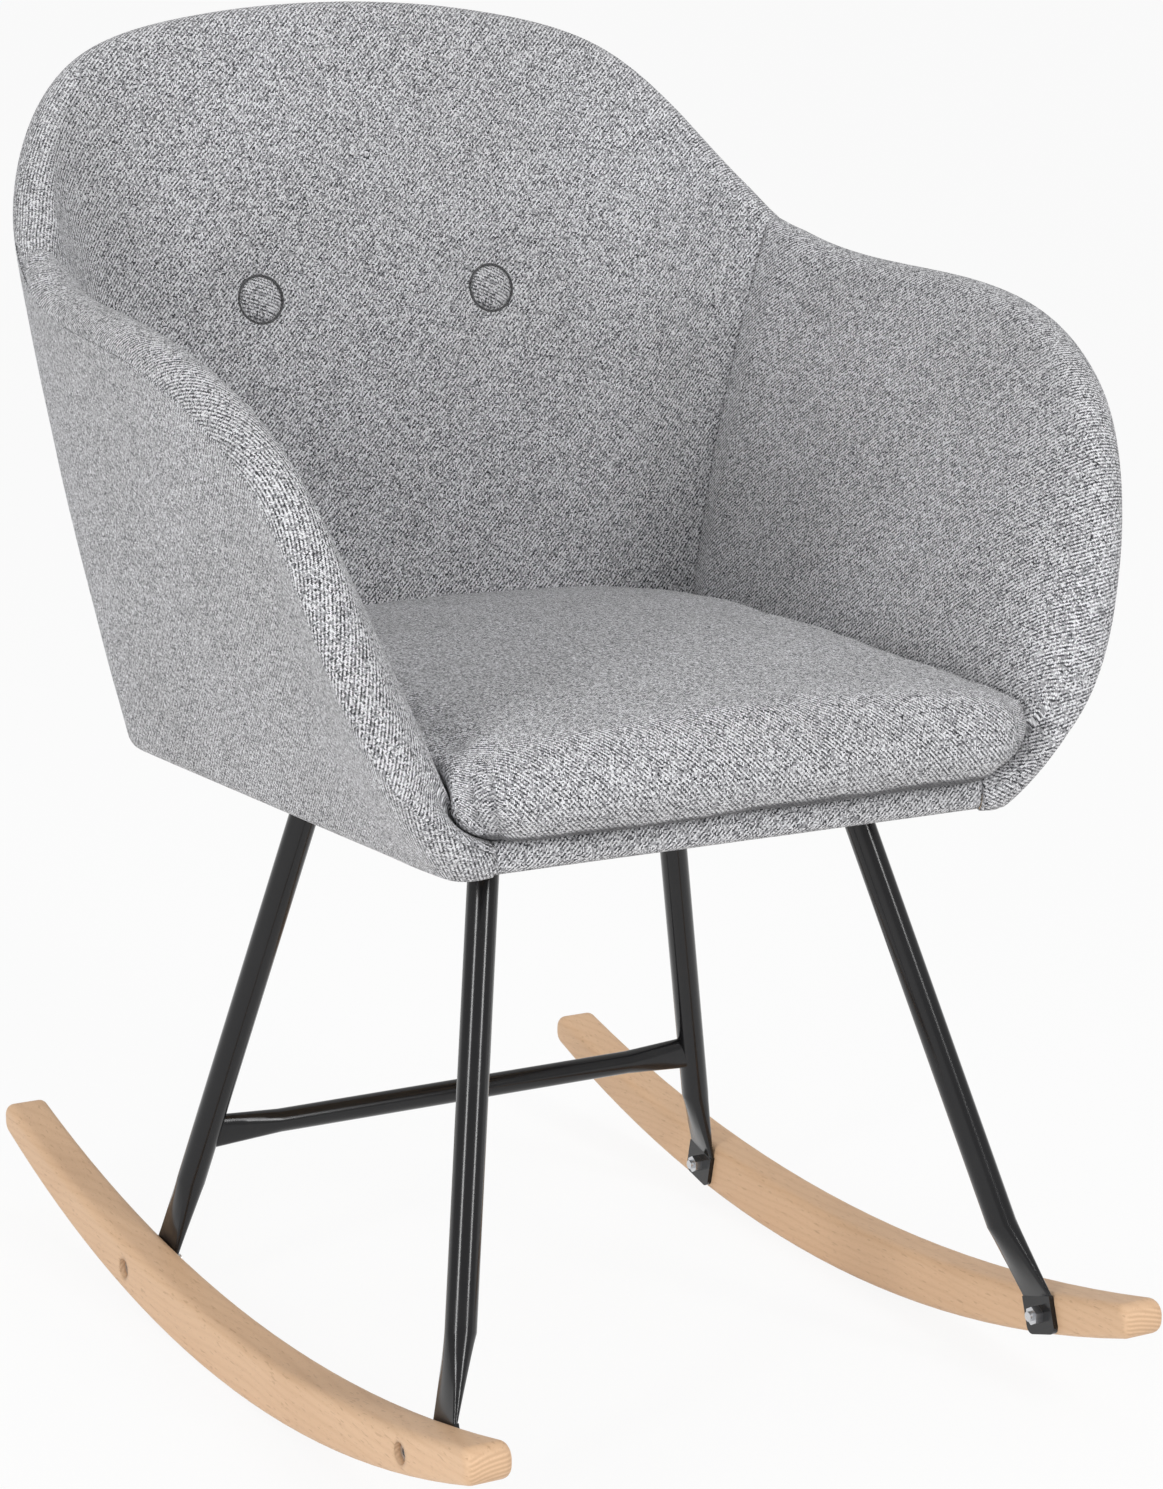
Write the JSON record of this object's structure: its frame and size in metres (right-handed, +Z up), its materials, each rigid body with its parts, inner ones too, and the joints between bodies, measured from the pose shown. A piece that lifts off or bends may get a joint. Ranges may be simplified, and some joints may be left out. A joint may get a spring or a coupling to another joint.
{
  "type": "rocking chair",
  "caption": "Upholstered bucket rocking chair: grey woven tub shell with curved arms, loose seat cushion, splayed black steel legs, a rear crossbar and curved beech rockers.",
  "frame": {"origin": "on the floor, under the middle of the overall box: halfway between the tips of the rockers and on the chair's plane of symmetry", "axes": "+Z up, -Y towards the front of the seat, +X towards the viewer's right when facing the front"},
  "size_m": [0.585, 0.688, 0.809],
  "materials": {
    "grey_fabric": "woven melange cloth, matte",
    "black_steel": "satin black powder coat",
    "beech": "clear matte lacquer",
    "plywood": "raw",
    "zinc_steel": "zinc plated"
  },
  "bodies": {
    "root": {"outer_cover": "grey_fabric", "inner_back_pad": "grey_fabric", "inner_arm_pad_right": "grey_fabric", "inner_arm_pad_left": "grey_fabric", "seat_cushion": "grey_fabric", "front_band": "grey_fabric", "back_button_right": "grey_fabric", "back_button_left": "grey_fabric", "leg_front_right": "black_steel", "leg_front_left": "black_steel", "leg_rear_right": "black_steel", "leg_rear_left": "black_steel", "leg_flange_front_right": "black_steel", "leg_flange_front_left": "black_steel", "leg_flange_rear_right": "black_steel", "leg_flange_rear_left": "black_steel", "rear_crossbar": "black_steel", "rocker_right": "beech", "rocker_left": "beech", "tub_core": "plywood", "seat_board": "plywood", "rocker_bolts": "zinc_steel", "rocker_nuts": "zinc_steel", "flange_screws": "zinc_steel", "tee_nuts": "zinc_steel", "shell_screws": "zinc_steel", "button_clips": "zinc_steel"}
  },
  "joints": []
}
